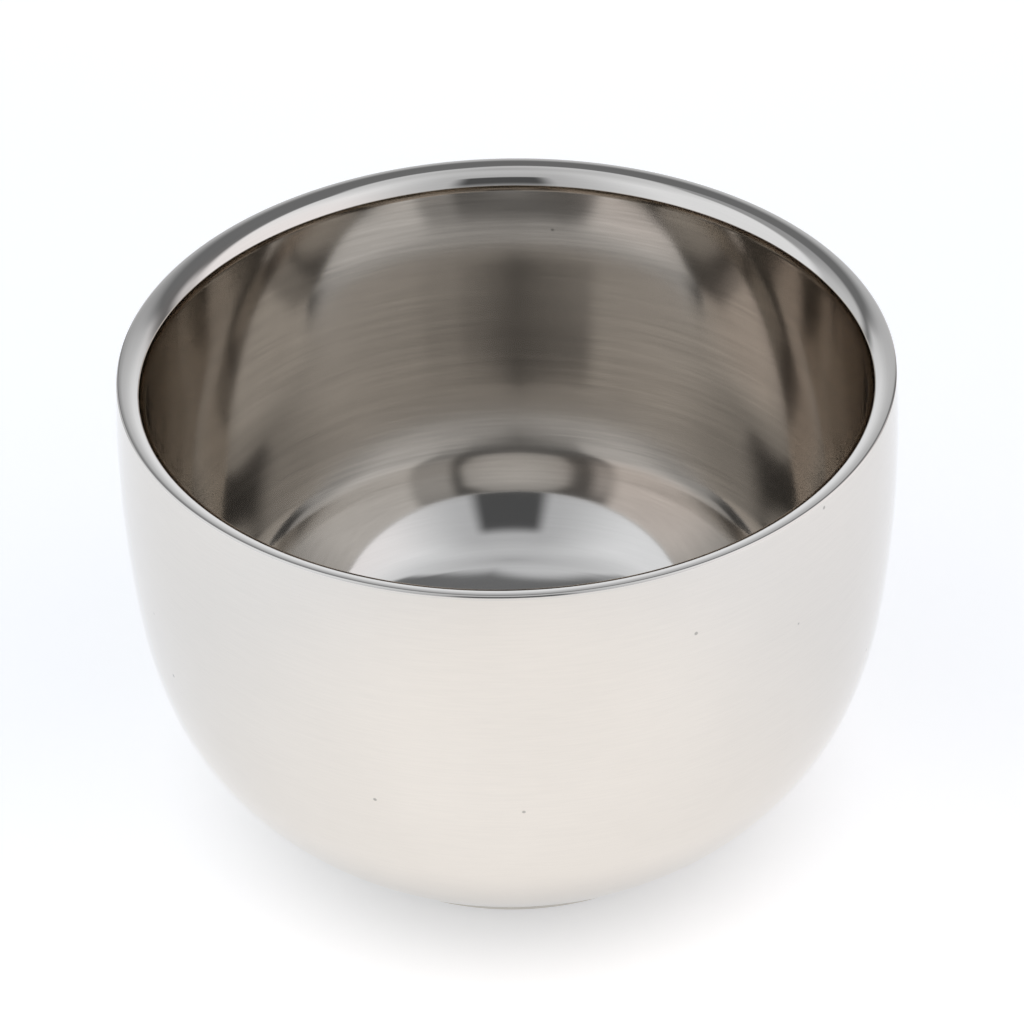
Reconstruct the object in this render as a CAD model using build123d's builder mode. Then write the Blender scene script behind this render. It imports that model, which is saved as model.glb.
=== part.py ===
"""Double-walled shaving bowl: a drawn steel liner hung in a drawn steel shell, closed by a pressed base."""
from build123d import *
import math
import os

os.makedirs("parts", exist_ok=True)

# Driving dimensions, millimetres. The bowl stands on Z = 0 and turns about Z.
bowl_height = 66.0
rim_radius = 48.5          # outer edge of the rim
belly_radius = 49.15       # widest point of the outer shell
belly_drop = 14.9          # from the rim down to the widest point
wall_offset = 4.15         # outside of the shell to inside of the liner, at the belly
foot_radius = 29.1

shell_sheet = 0.6          # steel sheet thicknesses
shell_seat_drop = 0.05     # the shell's top edge falls inwards by this, to seat under the lip
liner_sheet = 0.5
base_sheet = 0.6

# The outside of the shell is three tangent arcs: flank, shoulder and bowl.
# Each slope is measured from the vertical, where one arc hands over to the next.
flank_radius = 171.0
shoulder_radius = 58.3
bowl_radius = 34.3
flank_slope = 6.2
shoulder_slope = 15.5

# Rolled lip of the liner and the weld that joins it to the shell
lip_radius = 3.2
weld_bevel_width = 0.15
weld_bevel_height = 0.2

# Floor of the liner
liner_floor_slope = 50.0   # where the liner's bowl arc meets the tighter corner of the floor
liner_corner_radius = 17.0

# Foot and pressed base
neck_blend = 0.9
skirt_bend = 1.0           # outer bend from the base panel down to its skirt
recess_depth = 2.0         # rest plane up to the underside of the base panel
panel_step_radius = 21.0
panel_step_height = 0.5
panel_step_run = 1.2
base_weld_leg = 0.25
plug_radius = 1.5
plug_head_radius = 2.6
plug_head_height = 0.7
plug_head_bevel = 0.4
plug_tail_height = 0.45

# Worked-out dimensions
belly_height = bowl_height - belly_drop
liner_radius = belly_radius - wall_offset
lip_centre_radius = liner_radius + lip_radius
lip_height = bowl_height - lip_radius
shell_top = bowl_height - liner_sheet
skirt_radius = foot_radius - shell_sheet


def arc_end(centre, radius, slope):
    """Point of an arc where its outside has turned in by slope from the vertical."""
    angle = math.radians(slope)
    return (centre[0] + radius * math.cos(angle), centre[1] - radius * math.sin(angle))


def next_centre(centre, radius, new_radius, slope):
    """Centre of the arc that carries on tangent at slope with new_radius."""
    angle = math.radians(slope)
    shift = radius - new_radius
    return (centre[0] + shift * math.cos(angle), centre[1] - shift * math.sin(angle))


flank_centre = (belly_radius - flank_radius, belly_height)
shoulder_centre = next_centre(flank_centre, flank_radius, shoulder_radius, flank_slope)
bowl_centre = next_centre(shoulder_centre, shoulder_radius, bowl_radius, shoulder_slope)


def wall(centre, radius, from_slope, to_slope):
    """One arc of a wall, drawn downwards between two slopes from the vertical."""
    return CenterArc(centre, radius, -from_slope, from_slope - to_slope)


def lean_at(radius, height):
    """How far a flank face leans outwards, in degrees, at a height above the belly."""
    return math.degrees(math.asin((height - belly_height) / radius))


def slope_at(radius, from_axis):
    """Slope of a face of the shell's bowl arc where it comes to a distance from the axis."""
    return math.degrees(math.acos((from_axis - bowl_centre[0]) / radius))


# Outer shell: one drawn sheet from the rim to the turned-down neck of the foot.
# Its two faces share the arc centres, so the sheet has one thickness all the way.
inner_bowl_radius = bowl_radius - shell_sheet
top_slope = lean_at(flank_radius, shell_top)
inner_top_slope = lean_at(flank_radius - shell_sheet, shell_top - shell_seat_drop)
outer_end = slope_at(bowl_radius, foot_radius)
inner_end = slope_at(inner_bowl_radius, skirt_radius)

with BuildPart() as outer_shell:
    with BuildSketch(Plane.XZ):
        with BuildLine():
            outside_flank = wall(flank_centre, flank_radius, -top_slope, flank_slope)
            wall(shoulder_centre, shoulder_radius, flank_slope, shoulder_slope)
            outside_bowl = wall(bowl_centre, bowl_radius, shoulder_slope, outer_end)
            Line(outside_bowl @ 1, (foot_radius, 0))
            Line((foot_radius, 0), (skirt_radius + base_weld_leg, 0))
            Line((skirt_radius + base_weld_leg, 0), (skirt_radius, base_weld_leg))
            inside_neck = arc_end(bowl_centre, inner_bowl_radius, inner_end)
            Line((skirt_radius, base_weld_leg), inside_neck)
            wall(bowl_centre, inner_bowl_radius, shoulder_slope, inner_end)
            wall(shoulder_centre, shoulder_radius - shell_sheet, flank_slope, shoulder_slope)
            inside_flank = wall(flank_centre, flank_radius - shell_sheet, -inner_top_slope, flank_slope)
            Line(inside_flank @ 0, (lip_centre_radius, shell_top))
            Line((lip_centre_radius, shell_top), outside_flank @ 0)
        make_face()
    revolve(axis=Axis.Z)
    neck_crease = (
        outer_shell.edges()
        .filter_by(GeomType.CIRCLE)
        .filter_by(lambda edge: abs(edge.radius - foot_radius) < 0.01 and edge.center().Z > 0.5)
    )
    fillet(neck_crease, neck_blend)
outer_shell.part.label = "outer_shell"
export_step(outer_shell.part, "parts/outer_shell.step")


# Inner liner: the lip rolls out over the shell's top edge, and the wall runs down beside the
# shell at one offset, then turns through a tighter corner into a flat floor.
liner_bowl_radius = bowl_radius - wall_offset
floor_corner_centre = next_centre(bowl_centre, liner_bowl_radius, liner_corner_radius, liner_floor_slope)
floor_height = floor_corner_centre[1] - liner_corner_radius

with BuildPart() as inner_liner:
    with BuildSketch(Plane.XZ):
        with BuildLine():
            lip = CenterArc((lip_centre_radius, lip_height), lip_radius, 90, 90)
            Line(lip @ 1, (liner_radius, belly_height))
            wall(flank_centre, flank_radius - wall_offset, 0, flank_slope)
            wall(shoulder_centre, shoulder_radius - wall_offset, flank_slope, shoulder_slope)
            wall(bowl_centre, liner_bowl_radius, shoulder_slope, liner_floor_slope)
            corner = wall(floor_corner_centre, liner_corner_radius, liner_floor_slope, 90)
            Line(corner @ 1, (0, floor_height))
            Line((0, floor_height), (0, floor_height - liner_sheet))
            back_corner = wall(floor_corner_centre, liner_corner_radius + liner_sheet, liner_floor_slope, 90)
            Line((0, floor_height - liner_sheet), back_corner @ 1)
            wall(bowl_centre, liner_bowl_radius + liner_sheet, shoulder_slope, liner_floor_slope)
            wall(shoulder_centre, shoulder_radius - wall_offset + liner_sheet, flank_slope, shoulder_slope)
            wall(flank_centre, flank_radius - wall_offset + liner_sheet, 0, flank_slope)
            lip_back = CenterArc((lip_centre_radius, lip_height), lip_radius - liner_sheet, 90, 90)
            Line((liner_radius + liner_sheet, belly_height), lip_back @ 1)
            Line(lip_back @ 0, lip @ 0)
        make_face()
    revolve(axis=Axis.Z)
inner_liner.part.label = "inner_liner"
export_step(inner_liner.part, "parts/inner_liner.step")


# Rim weld: fills the corner outside the lip's edge, on top of the shell, with its own corner
# ground off.
shell_top_radius = flank_centre[0] + flank_radius * math.cos(math.radians(top_slope))
with BuildPart() as rim_weld:
    with BuildSketch(Plane.XZ):
        with BuildLine():
            Polyline(
                (lip_centre_radius, shell_top),
                (lip_centre_radius, bowl_height),
                (rim_radius - weld_bevel_width, bowl_height),
                (rim_radius, bowl_height - weld_bevel_height),
                (shell_top_radius, shell_top),
                close=True,
            )
        make_face()
    revolve(axis=Axis.Z)
rim_weld.part.label = "rim_weld"
export_step(rim_weld.part, "parts/rim_weld.step")


# Base plate: a shallow cup pressed into the neck with its skirt down. The panel is stiffened by
# a raised centre, and has a vent hole in the middle.
panel_top = recess_depth + base_sheet
centre_top = panel_top + panel_step_height
centre_underside = recess_depth + panel_step_height
panel_step_inside = panel_step_radius - panel_step_run
skirt_inside = skirt_radius - base_sheet


def bend_edges(radius, height):
    """The base plate's round edges at a radius and a height."""
    circles = base_plate.edges().filter_by(GeomType.CIRCLE)
    return circles.filter_by(lambda edge: math.dist((edge.radius, edge.center().Z), (radius, height)) < 0.01)


with BuildPart() as base_plate:
    with BuildSketch(Plane.XZ):
        with BuildLine():
            Polyline(
                (plug_radius, centre_underside),
                (panel_step_inside, centre_underside),
                (panel_step_radius, recess_depth),
                (skirt_inside, recess_depth),
                (skirt_inside, 0),
                (skirt_radius - base_weld_leg, 0),
                (skirt_radius, base_weld_leg),
                (skirt_radius, panel_top),
                (panel_step_radius, panel_top),
                (panel_step_inside, centre_top),
                (plug_radius, centre_top),
                close=True,
            )
        make_face()
    revolve(axis=Axis.Z)
    fillet(bend_edges(skirt_radius, panel_top), skirt_bend)
    fillet(bend_edges(skirt_inside, recess_depth), skirt_bend - base_sheet)
base_plate.part.label = "base_plate"
export_step(base_plate.part, "parts/base_plate.step")


# Base weld: the bead in the groove between the shell's neck and the base plate's skirt.
with BuildPart() as base_weld:
    with BuildSketch(Plane.XZ):
        with BuildLine():
            Polyline(
                (skirt_radius - base_weld_leg, 0),
                (skirt_radius + base_weld_leg, 0),
                (skirt_radius, base_weld_leg),
                close=True,
            )
        make_face()
    revolve(axis=Axis.Z)
base_weld.part.label = "base_weld"
export_step(base_weld.part, "parts/base_weld.step")


# Vent plug: closes the hole that lets the air out from between the walls while they are welded.
with BuildPart() as vent_plug:
    with BuildSketch(Plane.XY.offset(centre_underside - plug_head_height)):
        Circle(plug_head_radius)
    extrude(amount=plug_head_height)
    with BuildSketch(Plane.XY.offset(centre_underside)):
        Circle(plug_radius)
    extrude(amount=base_sheet + plug_tail_height)
    chamfer(vent_plug.edges().group_by(Axis.Z)[0], plug_head_bevel)
vent_plug.part.label = "vent_plug"
export_step(vent_plug.part, "parts/vent_plug.step")

air_over_plug = floor_height - liner_sheet - centre_top - plug_tail_height
print(f"liner floor at {floor_height:.2f} mm, air over the vent plug {air_over_plug:.2f} mm")
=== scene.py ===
import math

import bpy
import numpy as np
from bpy.props import FloatProperty, FloatVectorProperty, IntProperty, PointerProperty
from mathutils import Matrix, Vector


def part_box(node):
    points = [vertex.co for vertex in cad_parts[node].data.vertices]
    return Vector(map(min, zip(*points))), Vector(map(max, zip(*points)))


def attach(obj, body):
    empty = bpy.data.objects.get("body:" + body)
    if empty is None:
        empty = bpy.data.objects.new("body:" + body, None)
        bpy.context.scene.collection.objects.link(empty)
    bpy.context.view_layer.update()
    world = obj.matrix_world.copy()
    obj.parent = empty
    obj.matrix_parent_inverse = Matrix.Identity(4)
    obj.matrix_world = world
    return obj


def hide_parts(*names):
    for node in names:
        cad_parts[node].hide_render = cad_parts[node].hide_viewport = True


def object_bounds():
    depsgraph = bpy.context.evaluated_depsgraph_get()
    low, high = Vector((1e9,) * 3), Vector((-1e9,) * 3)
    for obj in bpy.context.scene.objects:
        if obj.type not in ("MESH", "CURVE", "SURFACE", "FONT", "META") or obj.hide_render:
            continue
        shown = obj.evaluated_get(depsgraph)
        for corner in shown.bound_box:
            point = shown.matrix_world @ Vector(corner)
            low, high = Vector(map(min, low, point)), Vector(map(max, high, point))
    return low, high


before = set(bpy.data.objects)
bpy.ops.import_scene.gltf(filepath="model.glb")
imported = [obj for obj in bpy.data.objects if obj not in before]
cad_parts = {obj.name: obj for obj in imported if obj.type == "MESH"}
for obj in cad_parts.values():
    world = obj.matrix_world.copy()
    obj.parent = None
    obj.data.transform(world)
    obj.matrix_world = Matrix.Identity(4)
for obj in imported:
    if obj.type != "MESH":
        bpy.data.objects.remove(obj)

bl_info = {
    "name": "Double-Walled Shaving Bowl",
    "version": (1, 0, 0),
    "blender": (4, 5, 0),
    "location": "3D View > Sidebar > Shaving Bowl",
    "description": "Turned steel sheets, welds and pressed base of a shaving bowl, in a light tent",
    "category": "Add Mesh",
}

CAD_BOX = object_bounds()
BODY = "root"
MM = 0.001
MICRON = 1e-6
TOUCHING = 1e-8                    # metres between points that count as one
SHARP_ANGLE = math.radians(28)     # edges that turn by more stay sharp
PLUG_SEGMENTS = 96


# Sizes and colours

def length(name, description, default):
    """A size in metres, shown in the sidebar with its unit."""
    return FloatProperty(
        name=name, description=description, default=default, min=0.0, unit="LENGTH", precision=5
    )


def slope(name, description, degrees):
    """An angle from the vertical."""
    angle = math.radians(degrees)
    return FloatProperty(name=name, description=description, default=angle, unit="ROTATION")


def colour(name, description, default):
    """A linear colour."""
    return FloatVectorProperty(
        name=name, description=description, default=default, subtype="COLOR", size=3
    )


def level(name, description, default):
    """A plain number without a unit."""
    return FloatProperty(name=name, description=description, default=default)


class BowlSizes(bpy.types.PropertyGroup):
    """Sizes of the bowl. The bowl stands on Z = 0 and turns about Z."""

    height: length("Height", "Rest plane to the top of the lip", CAD_BOX[1].z)
    belly_radius: length("Belly radius", "Widest point of the outer shell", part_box("outer_shell")[1].x)
    belly_drop: length("Belly drop", "Lip top down to the widest point", 14.9 * MM)
    shell_top: length("Shell top", "Height of the shell's top edge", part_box("outer_shell")[1].z)
    lip_centre: length("Lip centre radius", "Axis to the lip's centre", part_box("inner_liner")[1].x)
    lip_radius: length("Lip radius", "Outside radius of the rolled lip", 3.2 * MM)
    weld_round: length("Weld rounding", "Polished rounding of the rim weld", 0.3 * MM)
    shell_sheet: length("Shell sheet", "Thickness of the shell's sheet", 0.6 * MM)
    liner_sheet: length("Liner sheet", "Thickness of the liner's sheet", 0.5 * MM)
    base_sheet: length("Base sheet", "Thickness of the base plate's sheet", 0.6 * MM)
    flank_radius: length("Flank radius", "Arc of the upper wall, outside", 171.0 * MM)
    shoulder_radius: length("Shoulder radius", "Arc of the middle wall, outside", 58.3 * MM)
    bowl_radius: length("Bowl radius", "Arc of the lower wall, outside", 34.3 * MM)
    liner_radii: FloatVectorProperty(
        name="Liner radii",
        description="Arcs of the liner below its flank: shoulder, corner, band, heel and dish",
        default=(67.5 * MM, 20.5 * MM, 34.5 * MM, 12.0 * MM, 45.0 * MM),
        size=5,
        unit="LENGTH",
        precision=5,
    )
    liner_slopes: FloatVectorProperty(
        name="Liner slopes",
        description="Where each of those arcs ends, from the vertical",
        default=np.radians((15.5, 33.5, 43.2, 66.0, 90.0)).tolist(),
        size=5,
        unit="ROTATION",
    )
    neck_blend: length("Neck blend", "Rounding where the shell turns down to its foot", 0.9 * MM)
    skirt_radius: length("Skirt radius", "Outside of the base plate's skirt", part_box("base_plate")[1].x)
    skirt_bend: length("Skirt bend", "Outer bend from the base panel to its skirt", 1.0 * MM)
    weld_leg: length("Base weld leg", "Height of the base weld's bead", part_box("base_weld")[1].z)
    recess_depth: length("Recess depth", "Rest plane up to the base panel", 2.0 * MM)
    step_radius: length("Panel step radius", "Where the base panel steps up", 21.0 * MM)
    step_run: length("Panel step run", "Width of the base panel's step", 1.2 * MM)
    step_height: length("Panel step height", "Rise of the base panel's step", 0.5 * MM)
    step_bend: length("Panel step bend", "Rounding of the base panel's step", 0.7 * MM)
    plug_radius: length("Plug radius", "Shank of the vent plug", 1.5 * MM)
    plug_head: length("Plug head radius", "Head of the vent plug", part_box("vent_plug")[1].x)
    plug_low: length("Plug head height", "Rest plane up to the plug's head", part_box("vent_plug")[0].z)
    plug_high: length("Plug tail height", "Rest plane up to the plug's tail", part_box("vent_plug")[1].z)
    flank_slope: slope("Flank slope", "Where the flank hands over to the shoulder", 6.2)
    shoulder_slope: slope("Shoulder slope", "Where the shoulder hands over to the bowl", 15.5)
    segments: IntProperty(name="Segments", description="Faces round the axis", default=384, min=24)


class BowlFinish(bpy.types.PropertyGroup):
    """Colours and finishes of the steel."""

    steel: colour("Steel", "Straight-on reflection of stainless steel", (0.70, 0.668, 0.625))
    satin: colour("Satin", "Brushed inside wall", (0.60, 0.56, 0.512))
    bowl: colour("Bowl", "Lower part of the inside", (0.66, 0.635, 0.60))
    scratch: level("Scratch contrast", "How far polishing lines darken the steel", 0.06)
    lip_rough: level("Lip roughness", "Buffed lip", 0.04)
    bowl_rough: level("Bowl roughness", "Lower part of the inside", 0.06)
    wall_rough: level("Wall roughness", "Satin inside wall", 0.09)
    shell_rough: level("Shell roughness", "Buffed outside", 0.05)
    wall_from: length("Wall from", "Height where the satin of the inside wall starts to show", 14 * MM)
    wall_full: length("Wall full", "Height from which the inside wall is all satin", 26 * MM)
    patch: length("Patch", "Size of the soft patches in the polish", 16 * MM)
    speck: length("Speck", "Distance over which a small dark speck fades out", 0.3 * MM)
    speck_cell: length("Speck cell", "Cell of space that holds one speck", 9 * MM)
    speck_tone: level("Speck tone", "What a speck leaves of the steel's tone", 0.6)


# Turned shapes. An outline is an array of (distance from the axis, height) points.

def arc(centre, radius, start, stop, count=24):
    """centre + radius * (cos a, sin a), for count even angles a from start to stop in radians."""
    turn = np.linspace(start, stop, count)
    return np.column_stack((centre[0] + radius * np.cos(turn), centre[1] + radius * np.sin(turn)))


def outline(*runs):
    """The runs end to end, less the points that repeat their neighbour."""
    points = np.concatenate([np.atleast_2d(run) for run in runs])
    gap = np.linalg.norm(np.diff(points, axis=0), axis=1)
    return points[np.append(True, gap > TOUCHING)]


def rounded(corners, radii, count=9):
    """Straight runs between corners, each corner but the first and last replaced by the arc of its radius
    that touches both runs. A corner turned by t has its arc's ends at radius * tan(t / 2) from it."""
    corners = np.asarray(corners, float)
    runs = [corners[:1]]
    for before, corner, after, radius in zip(corners, corners[1:], corners[2:], radii):
        arrive = (corner - before) / np.linalg.norm(corner - before)
        leave = (after - corner) / np.linalg.norm(after - corner)
        turn = math.atan2(arrive[0] * leave[1] - arrive[1] * leave[0], arrive @ leave)
        side = math.copysign(1.0, turn)
        first = corner - arrive * radius * math.tan(abs(turn) / 2)
        centre = first + side * radius * np.array((-arrive[1], arrive[0]))
        start = math.atan2(*(first - centre)[::-1])
        runs.append(arc(centre, radius, start, start + turn, count))
    return outline(*runs, corners[-1])


def turned(name, points, segments):
    """The closed outline spun about Z: x = r cos a, y = r sin a, z = h, over a grid of outline point by
    angle a. An outline that starts and ends on the axis gets one point there at each end."""
    points = np.asarray(points, float)
    low, high = points, np.roll(points, -1, axis=0)
    if np.sum(low[:, 0] * high[:, 1] - high[:, 0] * low[:, 1]) < 0:
        points = points[::-1]
    on_axis = points[0, 0] < TOUCHING and points[-1, 0] < TOUCHING
    rings = points[1:-1] if on_axis else points
    turn = np.arange(segments) * (2 * math.pi / segments)
    places = np.empty((len(rings), segments, 3))
    places[..., 0] = rings[:, :1] * np.cos(turn)
    places[..., 1] = rings[:, :1] * np.sin(turn)
    places[..., 2] = rings[:, 1:]
    places = places.reshape(-1, 3)
    grid = np.arange(len(places)).reshape(len(rings), segments)
    if not on_axis:
        grid = np.concatenate((grid, grid[:1]))
    beside = np.roll(grid, -1, axis=1)
    faces = np.stack((grid[:-1], beside[:-1], beside[1:], grid[1:]), axis=-1)
    faces = faces.reshape(-1, 4).tolist()
    if on_axis:
        poles = np.array([[0, 0, points[0, 1]], [0, 0, points[-1, 1]]])
        first, last = len(places), len(places) + 1
        places = np.concatenate((places, poles))
        faces += np.stack((np.full(segments, first), beside[0], grid[0]), axis=-1).tolist()
        faces += np.stack((np.full(segments, last), grid[-1], beside[-1]), axis=-1).tolist()
    mesh = bpy.data.meshes.new(name)
    mesh.from_pydata(places, [], faces)
    mesh.shade_smooth()
    mesh.set_sharp_from_angle(angle=SHARP_ANGLE)
    piece = bpy.data.objects.new(name, mesh)
    bpy.context.scene.collection.objects.link(piece)
    return piece


# The wall's arcs. Each slope is measured from the vertical.

def along(centre, distance, angle):
    """The point at a distance from a centre, outwards and down by angle below the horizontal."""
    return (centre[0] + distance * math.cos(angle), centre[1] - distance * math.sin(angle))


def wall_centres(size):
    """Centres of the flank, shoulder and bowl arcs, each on the line through the last one's end."""
    flank = (size.belly_radius - size.flank_radius, size.height - size.belly_drop)
    shoulder = along(flank, size.flank_radius - size.shoulder_radius, size.flank_slope)
    bowl = along(shoulder, size.shoulder_radius - size.bowl_radius, size.shoulder_slope)
    return flank, shoulder, bowl


def wall(size, inset, top, bottom):
    """The wall's arcs, from a lean of top above the belly down to a slope of bottom, moved inwards by
    inset."""
    flank, shoulder, bowl = wall_centres(size)
    return outline(
        arc(flank, size.flank_radius - inset, top, 0, count=22),
        arc(flank, size.flank_radius - inset, 0, -size.flank_slope, count=26),
        arc(shoulder, size.shoulder_radius - inset, -size.flank_slope, -size.shoulder_slope, count=16),
        arc(bowl, size.bowl_radius - inset, -size.shoulder_slope, -bottom, count=44),
    )


def lean(size, inset, height):
    """How far the flank leans in at a height above the belly: asin(rise / radius)."""
    return math.asin((height - size.height + size.belly_drop) / (size.flank_radius - inset))


def shell_outline(size):
    """Sheet from the rim down to the turned-down neck. Outside, a small round blends the bowl arc into
    the neck and touches both."""
    bowl = wall_centres(size)[2]
    foot = size.skirt_radius + size.shell_sheet
    reach = size.bowl_radius + size.neck_blend
    neck_slope = math.acos((foot + size.neck_blend - bowl[0]) / reach)
    blend = along(bowl, reach, neck_slope)
    inner_slope = math.acos((size.skirt_radius - bowl[0]) / (size.bowl_radius - size.shell_sheet))
    outside = wall(size, 0, lean(size, 0, size.shell_top), neck_slope)
    inside = wall(size, size.shell_sheet, lean(size, size.shell_sheet, size.shell_top), inner_slope)
    return outline(
        (size.lip_centre, size.shell_top),
        outside,
        arc(blend, size.neck_blend, math.pi - neck_slope, math.pi, count=12),
        (foot, 0),
        (size.skirt_radius + size.weld_leg, 0),
        (size.skirt_radius, size.weld_leg),
        inside[::-1],
    )


def liner_outline(size):
    """Sheet from the lip's edge over the lip, down the straight neck and the flank, through five more arcs
    to the flat middle, and back. Each arc's centre is on the line through the last one's end, and both
    faces share it."""
    offset = size.belly_radius - size.lip_centre + size.lip_radius
    lip = (size.lip_centre, size.height - size.lip_radius)

    def face(depth):
        """The face at a depth under the inside one, from the lip's edge to the axis."""
        centre = wall_centres(size)[0]
        radius = size.flank_radius - offset
        angle = size.flank_slope
        runs = [
            arc(lip, size.lip_radius - depth, math.pi / 2, math.pi, count=32),
            arc(centre, radius + depth, 0, -angle, count=12),
        ]
        for next_radius, next_angle in zip(size.liner_radii, size.liner_slopes):
            centre = along(centre, radius - next_radius, angle)
            runs.append(arc(centre, next_radius + depth, -angle, -next_angle, count=16))
            radius, angle = next_radius, next_angle
        floor = centre[1] - radius - depth
        return outline(*runs, np.linspace((centre[0], floor), (0, floor), 5))

    return outline(face(0)[::-1], face(size.liner_sheet))


def weld_outline(size):
    """Corner on top of the shell, outside the lip's edge, polished to a small round."""
    centre = (size.lip_centre, size.height - size.weld_round)
    edge = wall(size, 0, lean(size, 0, size.shell_top), size.shoulder_slope)[0]
    return outline(
        (size.lip_centre, size.shell_top),
        edge,
        arc(centre, size.weld_round, 0, math.pi / 2, count=16),
    )


def base_outline(size):
    """Shallow cup, skirt down, with a raised centre: both faces of the sheet as rounded straight runs."""
    inside = size.skirt_radius - size.base_sheet
    floor = size.recess_depth
    top = floor + size.base_sheet
    step_in = size.step_radius - size.step_run
    under = rounded(
        [
            (size.plug_radius, floor + size.step_height),
            (step_in, floor + size.step_height),
            (size.step_radius, floor),
            (inside, floor),
            (inside, 0),
        ],
        (size.step_bend, size.step_bend, size.skirt_bend - size.base_sheet),
    )
    over = rounded(
        [
            (size.skirt_radius, size.weld_leg),
            (size.skirt_radius, top),
            (size.step_radius, top),
            (step_in, top + size.step_height),
            (size.plug_radius, top + size.step_height),
        ],
        (size.skirt_bend, size.step_bend, size.step_bend),
    )
    return outline(under, (size.skirt_radius - size.weld_leg, 0), over)


def bead_outline(size):
    """Weld bead in the groove between the shell's neck and the base plate's skirt: a wedge whose underside
    is hollowed by a parabola, u from -1 to 1 across it, depth * (1 - u * u)."""
    hollow = 0.12 * size.weld_leg
    across = np.linspace(-1, 1, 9)
    low = np.column_stack((size.skirt_radius + across * size.weld_leg, hollow * (1 - across**2)))
    return outline(low, (size.skirt_radius, size.weld_leg))


def plug_outline(size):
    """Rivet: domed head below the panel, shank through it, and a tail with a rounded edge above."""
    seat = size.recess_depth + size.step_height
    tail = (size.plug_high + seat + size.base_sheet) / 2
    brim = seat - 0.25 * (seat - size.plug_low)
    edge = 0.2 * MM
    tilt = np.linspace(0, math.pi / 2, 14)
    head = np.column_stack((size.plug_head * np.sin(tilt), brim - (brim - size.plug_low) * np.cos(tilt)))
    return outline(
        head,
        (size.plug_head, seat),
        (size.plug_radius, seat),
        (size.plug_radius, tail),
        arc((size.plug_radius - edge, size.plug_high - edge), edge, 0, math.pi / 2, count=6),
        (0, size.plug_high),
    )


# Shader trees

class Wire:
    """An output socket that takes part in Python sums. Each operator adds one Math node."""

    def __init__(self, tree, socket):
        self.tree, self.socket = tree, socket

    def maths(self, operation, *values):
        """A Math node of this operation on the values."""
        made = self.tree.node("ShaderNodeMath", {"operation": operation}, dict(enumerate(values)))
        return Wire(self.tree, made.outputs[0])

    def __add__(self, other):
        return self.maths("ADD", self, other)

    def __radd__(self, other):
        return self.maths("ADD", other, self)

    def __sub__(self, other):
        return self.maths("SUBTRACT", self, other)

    def __rsub__(self, other):
        return self.maths("SUBTRACT", other, self)

    def __mul__(self, other):
        return self.maths("MULTIPLY", self, other)

    def __rmul__(self, other):
        return self.maths("MULTIPLY", other, self)

    def __pow__(self, other):
        return self.maths("POWER", self, other)

    def __abs__(self):
        return self.maths("ABSOLUTE", self)

    def least(self, other):
        """The smaller of the two."""
        return self.maths("MINIMUM", self, other)

    def step(self, low, high):
        """0 below low, 1 above high, and a smooth rise between them. With high below low it falls."""
        if low > high:
            return 1.0 - self.step(high, low)
        sockets = {"Value": self, "From Min": low, "From Max": high, "To Min": 0.0, "To Max": 1.0}
        return self.tree.wire("ShaderNodeMapRange", 0, {"interpolation_type": "SMOOTHSTEP"}, sockets)


class Tree:
    """Adds nodes to a material's or world's tree."""

    def __init__(self, owner):
        owner.use_nodes = True
        self.tree = owner.node_tree
        self.tree.nodes.clear()

    def node(self, kind, settings=None, sockets=None):
        """A node of this kind: its settings come first, then its sockets' values and links."""
        made = self.tree.nodes.new(kind)
        for name, value in (settings or {}).items():
            setattr(made, name, value)
        for name, value in (sockets or {}).items():
            if isinstance(value, Wire):
                self.tree.links.new(value.socket, made.inputs[name])
            else:
                made.inputs[name].default_value = value
        return made

    def wire(self, kind, output, settings=None, sockets=None):
        """One output of a new node."""
        return Wire(self, self.node(kind, settings, sockets).outputs[output])

    def axes(self, vector):
        """The three parts of a vector."""
        parts = self.node("ShaderNodeSeparateXYZ", None, {"Vector": vector})
        return [Wire(self, parts.outputs[axis]) for axis in "XYZ"]

    def joined(self, x, y, z):
        """A vector from its three parts."""
        return self.wire("ShaderNodeCombineXYZ", "Vector", None, {"X": x, "Y": y, "Z": z})

    def noise(self, vector, scale, detail, roughness):
        """Smooth noise between 0 and 1."""
        sockets = {"Vector": vector, "Scale": scale, "Detail": detail, "Roughness": roughness}
        return self.wire("ShaderNodeTexNoise", "Fac", None, sockets)

    def blend(self, factor, first, second, mode="MIX"):
        """Two colours through a Mix node."""
        settings = {"data_type": "RGBA", "blend_type": mode}
        sockets = {0: factor, 6: opaque(first), 7: opaque(second)}
        return Wire(self, self.node("ShaderNodeMix", settings, sockets).outputs[2])

    def surface(self, shader):
        """Links a shader to the output."""
        self.node("ShaderNodeOutputMaterial", None, {"Surface": shader})


def opaque(tone):
    """A colour with its alpha, for a socket; a link stays as it is."""
    return tone if isinstance(tone, Wire) else (*tone[:3], 1.0)


def mixed(first, second, share):
    """first where share is 0, second where it is 1."""
    return first + (second - first) * share


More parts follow.
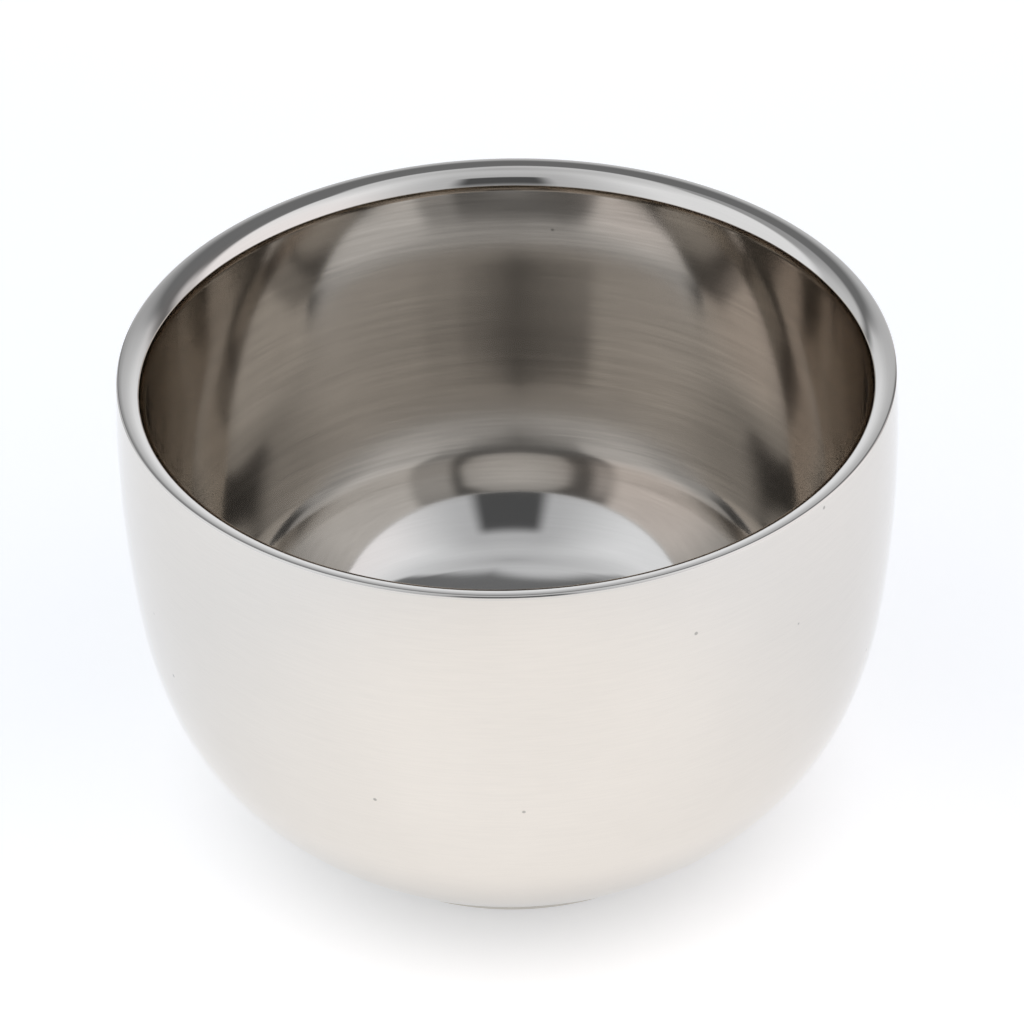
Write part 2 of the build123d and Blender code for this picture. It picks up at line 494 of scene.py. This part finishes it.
class Steel(Tree):
    """A steel finish on a turned piece. away is the distance from the axis, and rise = z + away. Noise on
    rise alone makes rings round the axis, as polishing does."""

    def __init__(self, name):
        self.material = bpy.data.materials.new(name)
        super().__init__(self.material)
        self.x, self.y, self.z = self.axes(self.wire("ShaderNodeTexCoord", "Object"))
        self.away = (self.x * self.x + self.y * self.y) ** 0.5
        self.rise = self.z + self.away

    def lines(self, width, reach, detail=3.0):
        """Polishing lines of a width that wander or end over a reach round the piece, 0 to 1."""
        drift = width / reach
        place = self.joined(self.x * drift, self.y * drift, self.rise)
        return self.noise(place, 1.0 / width, detail, 0.6)

    def mottled(self, shade, finish):
        """The shade with soft patches, and with sparse specks: one in each cell of space, seen where it
        meets the surface."""
        place = self.joined(self.x, self.y, self.z)
        patches = self.noise(place, 1.0 / finish.patch, 3.0, 0.55)
        cells = {"Vector": place, "Scale": 1.0 / finish.speck_cell}
        apart = self.wire("ShaderNodeTexVoronoi", "Distance", None, cells) * finish.speck_cell
        clean = mixed(finish.speck_tone, 1.0, apart.step(0.5 * finish.speck, finish.speck))
        return (shade - finish.scratch * (patches - 0.5)) * clean

    def finished(self, tone, shade, roughness, height, depth, brushed):
        """The material: tone times shade for colour, height times depth for relief, and brushed for how
        much more it blurs across the lines than along them."""
        colour = self.blend(1.0, tone, self.joined(shade, shade, shade), "MULTIPLY")
        relief = {"Strength": 1.0, "Distance": depth, "Height": height}
        sockets = {
            "Base Color": colour,
            "Metallic": 1.0,
            "Roughness": roughness,
            "Anisotropic": brushed,
            "Anisotropic Rotation": 0.25,
            "Normal": self.wire("ShaderNodeBump", "Normal", None, relief),
        }
        self.surface(self.wire("ShaderNodeBsdfPrincipled", "BSDF", None, sockets))
        return self.material


def shell_steel(finish):
    """Buffed shell: faint lines, patches and specks."""
    tree = Steel("shell_buffed")
    grooves = tree.lines(0.25 * MM, 5 * MM)
    bands = tree.lines(2.5 * MM, 60 * MM, 2.0)
    shade = tree.mottled(1.0 - finish.scratch * (grooves - 0.5), finish)
    roughness = finish.shell_rough * (0.7 + 0.4 * bands + 0.2 * grooves)
    return tree.finished(finish.steel, shade, roughness, grooves, 0.2 * MICRON, 0.3)


def liner_steel(size, finish):
    """Inside: satin with fine lines on the wall, brighter towards the floor, and a buffed lip."""
    tree = Steel("liner_satin")
    grooves = tree.lines(0.3 * MM, 9 * MM)
    streaks = tree.lines(1.1 * MM, 40 * MM)
    bands = tree.lines(2.5 * MM, 60 * MM, 2.0)
    lip = tree.z.step(size.height - 1.2 * size.lip_radius, size.height - 0.7 * size.lip_radius)
    satin = tree.z.step(finish.wall_from, finish.wall_full) * (1.0 - lip)
    tone = tree.blend(satin, tree.blend(lip, finish.bowl, finish.steel), finish.satin)
    contrast = finish.scratch * (1.0 + 5.0 * satin)
    shade = tree.mottled(1.0 - contrast * (grooves + streaks - 1.0), finish)
    rough = mixed(finish.bowl_rough, finish.lip_rough, lip)
    rough = rough + (finish.wall_rough - finish.bowl_rough) * satin
    rough = rough * (0.75 + 0.35 * bands + 0.15 * grooves)
    return tree.finished(tone, shade, rough, grooves, 0.5 * MICRON, 0.6)


def plain_steel(name, finish, rough, depth, reach, brushed=0.0):
    """Welds, base and plug: lines of a depth that end over a reach, in one tone."""
    tree = Steel(name)
    grooves = tree.lines(0.3 * MM, reach)
    shade = 1.0 - finish.scratch * (grooves - 0.5)
    return tree.finished(finish.steel, shade, rough * (0.8 + 0.4 * grooves), grooves, depth, brushed)


def seat(piece, node, slot, material):
    """Rides the piece on the body in place of its CAD node, with its material."""
    piece.data.materials.append(material)
    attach(piece, BODY)
    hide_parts(node)


# Operators

class BOWL_OT_shell(bpy.types.Operator):
    """Outer shell: a drawn sheet, buffed bright outside"""

    bl_idname = "bowl.shell"
    bl_label = "Outer Shell"

    def execute(self, context):
        size, finish = context.scene.bowl_sizes, context.scene.bowl_finish
        piece = turned("drawn_shell", shell_outline(size), size.segments)
        seat(piece, "outer_shell", "shell_steel", shell_steel(finish))
        return {"FINISHED"}


class BOWL_OT_liner(bpy.types.Operator):
    """Inner liner: a drawn sheet with a rolled lip, satin inside"""

    bl_idname = "bowl.liner"
    bl_label = "Inner Liner"

    def execute(self, context):
        size, finish = context.scene.bowl_sizes, context.scene.bowl_finish
        piece = turned("drawn_liner", liner_outline(size), size.segments)
        seat(piece, "inner_liner", "liner_steel", liner_steel(size, finish))
        return {"FINISHED"}


class BOWL_OT_rim_weld(bpy.types.Operator):
    """Rim weld: closes the corner between the lip and the shell, ground and buffed round"""

    bl_idname = "bowl.rim_weld"
    bl_label = "Rim Weld"

    def execute(self, context):
        size, finish = context.scene.bowl_sizes, context.scene.bowl_finish
        steel = plain_steel("weld_buffed", finish, finish.lip_rough, 0.1 * MICRON, 5 * MM)
        seat(turned("rim_bead", weld_outline(size), size.segments), "rim_weld", "weld_steel", steel)
        return {"FINISHED"}


class BOWL_OT_base(bpy.types.Operator):
    """Base plate, its weld bead and its vent plug"""

    bl_idname = "bowl.base"
    bl_label = "Base Plate, Weld and Plug"

    def execute(self, context):
        size, finish = context.scene.bowl_sizes, context.scene.bowl_finish
        steel = plain_steel("base_turned", finish, 0.2, 0.6 * MICRON, 12 * MM, brushed=0.6)
        seat(turned("pressed_base", base_outline(size), size.segments), "base_plate", "base_steel", steel)
        steel = plain_steel("bead_brushed", finish, 0.3, MICRON, 0.3 * MM)
        seat(turned("base_bead", bead_outline(size), size.segments), "base_weld", "weld_steel", steel)
        steel = plain_steel("plug_dull", finish, 0.3, MICRON, 0.6 * MM)
        seat(turned("vent_rivet", plug_outline(size), PLUG_SEGMENTS), "vent_plug", "plug_steel", steel)
        return {"FINISHED"}


# Stage, in metres and radians where no other unit is given

REFLECTIONS = 16    # the inside mirrors itself many times near the rim
TENT_RADIUS = 0.33
TENT_MIDDLE = 0.033
TABLE_HALF = 3.0
CAMERA_LENS = 128.6    # millimetres
CAMERA_AIM = Vector((0.0003, 0.0, 0.0422))
CAMERA_DISTANCE = 0.4698
CAMERA_ELEVATION = math.radians(36.44)
CAMERA_ROLL = math.radians(-1.31)


def tent_light():
    """Light of the tent by direction from its middle: turn is degrees to the right of straight behind the
    bowl, and lift is degrees above the horizon. The cloth glows at the sides, less overhead and before the
    bowl. Behind the bowl a lit sweep of paper with a round crest stands between two grey boards, under an
    unlit gap in the cloth, and in front is the dark opening that the camera looks through. Each pair of
    angles below is where an edge starts and ends."""
    gap_left, gap_right, gap_top = (-70, -60), (76, 64), (80, 75)
    board_left, board_right = (-33, -42), (50, 62)
    sweep_left, sweep_right, sweep_top = (-36, -27), (50, 34), (6, -6)
    opening_side, opening_top = (161, 169), (53, 47)
    shaded_side = (118, 165)
    material = bpy.data.materials.new("tent_cloth")
    tree = Tree(material)
    here = tree.wire("ShaderNodeTexCoord", "Object")
    way = tree.wire("ShaderNodeVectorMath", "Vector", {"operation": "NORMALIZE"}, {0: here})
    x, y, z = tree.axes(way)
    turn = x.maths("ARCTAN2", x, y) * math.degrees(1)
    lift = z.maths("ARCSINE", z) * math.degrees(1)
    flat = (x * x + y * y) ** 0.5
    cloth = (0.55 + 0.9 * flat.least(0.57)) * (1.0 + 0.05 * x)
    cloth = cloth * (1.0 - 0.42 * abs(turn).step(*shaded_side) * flat.step(0.1, 0.6))
    paper = (1.02 - 0.45 * lift.step(16, 46)) * (1.0 - 0.0002 * (turn - 3.0) ** 2.0)
    crest = 45.0 - 0.013 * (turn - 6.0) ** 2.0
    sweep = (lift - crest).step(*sweep_top) * turn.step(*sweep_left) * turn.step(*sweep_right)
    behind = mixed(0.20, 0.70 - 0.28 * lift.step(18, 52), turn.step(*board_left))
    behind = mixed(behind, 0.72 - 0.5 * lift.step(20, 46), turn.step(*board_right))
    behind = mixed(behind, paper, sweep)
    gap = turn.step(*gap_left) * turn.step(*gap_right) * (lift + 0.12 * abs(turn - 12.0)).step(*gap_top)
    opening = abs(turn).step(*opening_side) * lift.step(*opening_top)
    light = mixed(mixed(cloth, behind, gap), 0.35 - 0.25 * lift.step(7, 24), opening)
    tint = tree.blend(x.step(0.3, 0.9), (0.955, 0.995, 1.06), (1.0, 0.99, 1.035))
    glow = tree.blend(1.0, tint, tree.joined(light, light, light), "MULTIPLY")
    tree.surface(tree.wire("ShaderNodeEmission", "Emission", None, {"Color": glow, "Strength": 1.0}))
    return material


def table_top():
    """Pale table top, lit from below as well: its glow is warm before the bowl, cooler round it, and
    darker where the bowl stands, a painted contact shadow in the glow. It is open to a look from below."""
    # The third tone is a painted contact shadow in the glow beside the bowl; the diffuse part adds real
    # shade there as well.
    warm, cool, painted_shadow_tone = (0.62, 0.592, 0.562), (0.455, 0.462, 0.475), (0.30, 0.305, 0.31)
    warm_centre = -0.1
    material = bpy.data.materials.new("table_top")
    tree = Tree(material)
    x, y, z = tree.axes(tree.wire("ShaderNodeTexCoord", "Object"))
    before = ((x * x + (y - warm_centre) * (y - warm_centre)) ** 0.5).step(0.14, 0.03)
    # clear is 0 where the bowl stands and 1 past it: inside it the glow falls to the painted contact
    # shadow tone.
    clear = ((x * x + y * y) ** 0.5).step(0.026, 0.05)
    sockets = {
        "Base Color": opaque((0.8, 0.8, 0.8)),
        "Roughness": 0.6,
        "Specular IOR Level": 0.2,
        "Emission Color": tree.blend(clear, painted_shadow_tone, tree.blend(before, cool, warm)),
        "Emission Strength": 1.0,
    }
    top = tree.wire("ShaderNodeBsdfPrincipled", "BSDF", None, sockets)
    below = tree.wire("ShaderNodeNewGeometry", "Backfacing")
    through = tree.wire("ShaderNodeBsdfTransparent", "BSDF")
    tree.surface(tree.wire("ShaderNodeMixShader", "Shader", None, {0: below, 1: top, 2: through}))
    return material


def light_tent(rings=48, segments=96):
    """Sphere round the bowl: radius * (sin e cos a, sin e sin a, cos e) from pole to pole. The camera
    looks through it."""
    tilt = np.linspace(0, math.pi, rings)
    points = TENT_RADIUS * np.column_stack((np.sin(tilt), np.cos(tilt)))
    points[[0, -1], 0] = 0
    tent = turned("light_tent", points, segments)
    tent.location.z = TENT_MIDDLE
    tent.visible_camera = False
    tent.visible_shadow = False
    tent.data.materials.append(tent_light())
    return tent


def table():
    """Square table top at Z = 0."""
    corners = TABLE_HALF * np.array([(-1, -1, 0), (1, -1, 0), (1, 1, 0), (-1, 1, 0)])
    mesh = bpy.data.meshes.new("table")
    mesh.from_pydata(corners, [], [(0, 1, 2, 3)])
    mesh.materials.append(table_top())
    top = bpy.data.objects.new("table", mesh)
    bpy.context.scene.collection.objects.link(top)
    return top


def white_surround():
    """World of even white light, behind everything."""
    world = bpy.data.worlds.new("white_surround")
    tree = Tree(world)
    white = {"Color": opaque((1, 1, 1)), "Strength": 1.0}
    light = tree.wire("ShaderNodeBackground", "Background", None, white)
    tree.node("ShaderNodeOutputWorld", None, {"Surface": light})
    return world


def camera():
    """Camera at a distance before the bowl, looking down by the elevation at its aim, and rolled."""
    back = Vector((0, -math.cos(CAMERA_ELEVATION), math.sin(CAMERA_ELEVATION)))
    level_right = Vector((1, 0, 0))
    level_up = back.cross(level_right)
    right = level_right * math.cos(CAMERA_ROLL) + level_up * math.sin(CAMERA_ROLL)
    up = level_up * math.cos(CAMERA_ROLL) - level_right * math.sin(CAMERA_ROLL)
    body = bpy.data.cameras.new("camera")
    body.lens = CAMERA_LENS
    body.clip_start = 0.01
    viewer = bpy.data.objects.new("camera", body)
    turn = Matrix((right, up, back)).transposed().to_4x4()
    viewer.matrix_world = Matrix.Translation(CAMERA_AIM + back * CAMERA_DISTANCE) @ turn
    bpy.context.scene.collection.objects.link(viewer)
    return viewer


class BOWL_OT_stage(bpy.types.Operator):
    """Light tent, table top, white surround and camera"""

    bl_idname = "bowl.stage"
    bl_label = "Light Tent, Table and Camera"

    def execute(self, context):
        scene = context.scene
        light_tent()
        table()
        scene.world = white_surround()
        scene.view_settings.view_transform = "Standard"
        scene.cycles.max_bounces = REFLECTIONS
        scene.cycles.glossy_bounces = REFLECTIONS
        scene.camera = camera()
        return {"FINISHED"}


class BOWL_PT_panel(bpy.types.Panel):
    """Lists the bowl's pieces, sizes and finishes"""

    bl_idname = "BOWL_PT_panel"
    bl_label = "Shaving Bowl"
    bl_space_type = "VIEW_3D"
    bl_region_type = "UI"
    bl_category = "Shaving Bowl"

    def draw(self, context):
        for operator in OPERATORS:
            self.layout.operator(operator.bl_idname)
        for group in (context.scene.bowl_sizes, context.scene.bowl_finish):
            column = self.layout.column(align=True)
            for name in group.__annotations__:
                column.prop(group, name)


OPERATORS = (BOWL_OT_stage, BOWL_OT_shell, BOWL_OT_liner, BOWL_OT_rim_weld, BOWL_OT_base)
CLASSES = (BowlSizes, BowlFinish, *OPERATORS, BOWL_PT_panel)


def register():
    for made in CLASSES:
        bpy.utils.register_class(made)
    bpy.types.Scene.bowl_sizes = PointerProperty(type=BowlSizes)
    bpy.types.Scene.bowl_finish = PointerProperty(type=BowlFinish)


def unregister():
    del bpy.types.Scene.bowl_finish
    del bpy.types.Scene.bowl_sizes
    for made in reversed(CLASSES):
        bpy.utils.unregister_class(made)


def main():
    """Makes the stage and every piece."""
    register()
    bpy.ops.bowl.stage()
    bpy.ops.bowl.shell()
    bpy.ops.bowl.liner()
    bpy.ops.bowl.rim_weld()
    bpy.ops.bowl.base()


if __name__ == "__main__":
    main()
